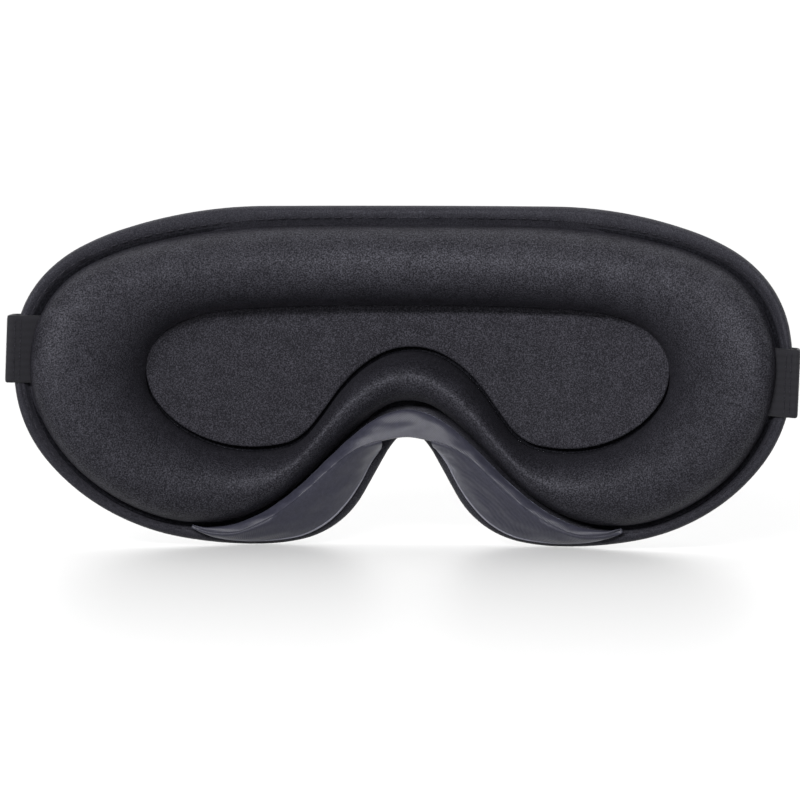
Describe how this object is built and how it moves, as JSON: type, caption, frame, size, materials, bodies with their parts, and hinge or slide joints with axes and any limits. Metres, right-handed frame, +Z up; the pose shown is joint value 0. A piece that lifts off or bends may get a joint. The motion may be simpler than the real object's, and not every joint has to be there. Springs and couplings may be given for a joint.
{
  "type": "sleep eye mask",
  "caption": "Contoured sleep eye mask with a padded ring round the eyes, a satin nose flap and an elastic strap in two halves that closes with hook and loop.",
  "frame": {"origin": "middle of the bottom of the bounding box; the mask stands on its two lower lobes", "axes": "+X to the right as seen from the wearer's side, +Y away from the wearer (the front of the mask), +Z up"},
  "size_m": [0.2346, 0.0618, 0.1022],
  "materials": {
    "cushion_fabric": "soft brushed knit, dark charcoal",
    "panel_fabric": "soft brushed knit, dark charcoal",
    "shell_fabric": "smooth matte knit, charcoal",
    "lining": "plain dark knit",
    "satin": "satin weave with a soft sheen, blue-grey",
    "satin_hem": "folded satin edge, lighter blue-grey",
    "foam": null,
    "thread": "twisted sewing thread",
    "elastic": "woven elastic, black",
    "loop_pile": "looped pile tape, black",
    "hook_tape": "nylon hook tape, black"
  },
  "bodies": {
    "mask": {"outer_fabric": "shell_fabric", "shell_foam": "foam", "lining_fabric": "lining", "cavity_panel_foam": "foam", "cavity_panel_fabric": "panel_fabric", "cushion_foam": "foam", "cushion_cover": "cushion_fabric", "rim_stitching": "thread", "nose_flap": "satin", "nose_flap_padding": "foam", "strap_left_tail": "elastic", "strap_left_tail_stitching": "thread", "strap_right_tail": "elastic", "strap_right_tail_stitching": "thread"},
    "strap_left_turn": {"strap_left_turn": "elastic"},
    "strap_left_outer": {"strap_left_outer": "elastic"},
    "strap_left_middle": {"strap_left_middle": "elastic"},
    "strap_left_end": {"strap_left_end": "elastic", "loop_patch": "loop_pile", "loop_patch_stitching": "thread"},
    "nose_wing_left": {"nose_wing_left": "satin", "nose_wing_left_hem": "satin_hem"},
    "strap_right_turn": {"strap_right_turn": "elastic"},
    "strap_right_outer": {"strap_right_outer": "elastic"},
    "strap_right_middle": {"strap_right_middle": "elastic"},
    "strap_right_end": {"strap_right_end": "elastic", "hook_patch": "hook_tape", "hook_patch_stitching": "thread"},
    "nose_wing_right": {"nose_wing_right": "satin", "nose_wing_right_hem": "satin_hem"}
  },
  "joints": [
    {"name": "strap_left_swing", "type": "hinge", "parent": "mask", "child": "strap_left_turn", "pos_m": [-0.11631, -0.0234, 0.06055], "axis": [0.0391, 0, 0.9992], "range_deg": [0, 185]},
    {"name": "strap_left_rim_bend", "type": "hinge", "parent": "strap_left_turn", "child": "strap_left_outer", "pos_m": [-0.11631, -0.0142, 0.06055], "axis": [0.0391, 0, 0.9992], "range_deg": [0, 60]},
    {"name": "strap_left_middle_bend", "type": "hinge", "parent": "strap_left_outer", "child": "strap_left_middle", "pos_m": [-0.07679, 0.01094, 0.059], "axis": [0.0391, 0, 0.9992], "range_deg": [0, 50]},
    {"name": "strap_left_unfold", "type": "hinge", "parent": "strap_left_middle", "child": "strap_left_end", "pos_m": [-0.01944, 0.02836, 0.05676], "axis": [-0.0391, 0, -0.9992], "range_deg": [0, 150]},
    {"name": "nose_wing_left_lift", "type": "hinge", "parent": "mask", "child": "nose_wing_left", "pos_m": [-0.0075, 0.00176, 0.0321], "axis": [-0.8743, -0.0513, -0.4826], "range_deg": [0, 30], "stiffness_Nm_per_rad": 0.002},
    {"name": "strap_right_swing", "type": "hinge", "parent": "mask", "child": "strap_right_turn", "pos_m": [0.11631, -0.0234, 0.05145], "axis": [-0.0391, 0, -0.9992], "range_deg": [0, 185]},
    {"name": "strap_right_rim_bend", "type": "hinge", "parent": "strap_right_turn", "child": "strap_right_outer", "pos_m": [0.11631, -0.0142, 0.05145], "axis": [-0.0391, 0, -0.9992], "range_deg": [0, 60]},
    {"name": "strap_right_middle_bend", "type": "hinge", "parent": "strap_right_outer", "child": "strap_right_middle", "pos_m": [0.07679, 0.01094, 0.053], "axis": [-0.0391, 0, -0.9992], "range_deg": [0, 50]},
    {"name": "strap_right_unfold", "type": "hinge", "parent": "strap_right_middle", "child": "strap_right_end", "pos_m": [0.01944, 0.02836, 0.05524], "axis": [0.0391, 0, 0.9992], "range_deg": [0, 150]},
    {"name": "nose_wing_right_lift", "type": "hinge", "parent": "mask", "child": "nose_wing_right", "pos_m": [0.0075, 0.00176, 0.0321], "axis": [-0.8743, 0.0513, 0.4826], "range_deg": [0, 30], "stiffness_Nm_per_rad": 0.002}
  ],
  "couplings": [
    {"joint": "strap_left_rim_bend", "follows": "strap_left_swing", "ratio": 0.32432},
    {"joint": "strap_left_middle_bend", "follows": "strap_left_swing", "ratio": 0.27027},
    {"joint": "strap_left_unfold", "follows": "strap_left_swing", "ratio": 0.81081},
    {"joint": "strap_right_rim_bend", "follows": "strap_right_swing", "ratio": 0.32432},
    {"joint": "strap_right_middle_bend", "follows": "strap_right_swing", "ratio": 0.27027},
    {"joint": "strap_right_unfold", "follows": "strap_right_swing", "ratio": 0.81081}
  ]
}
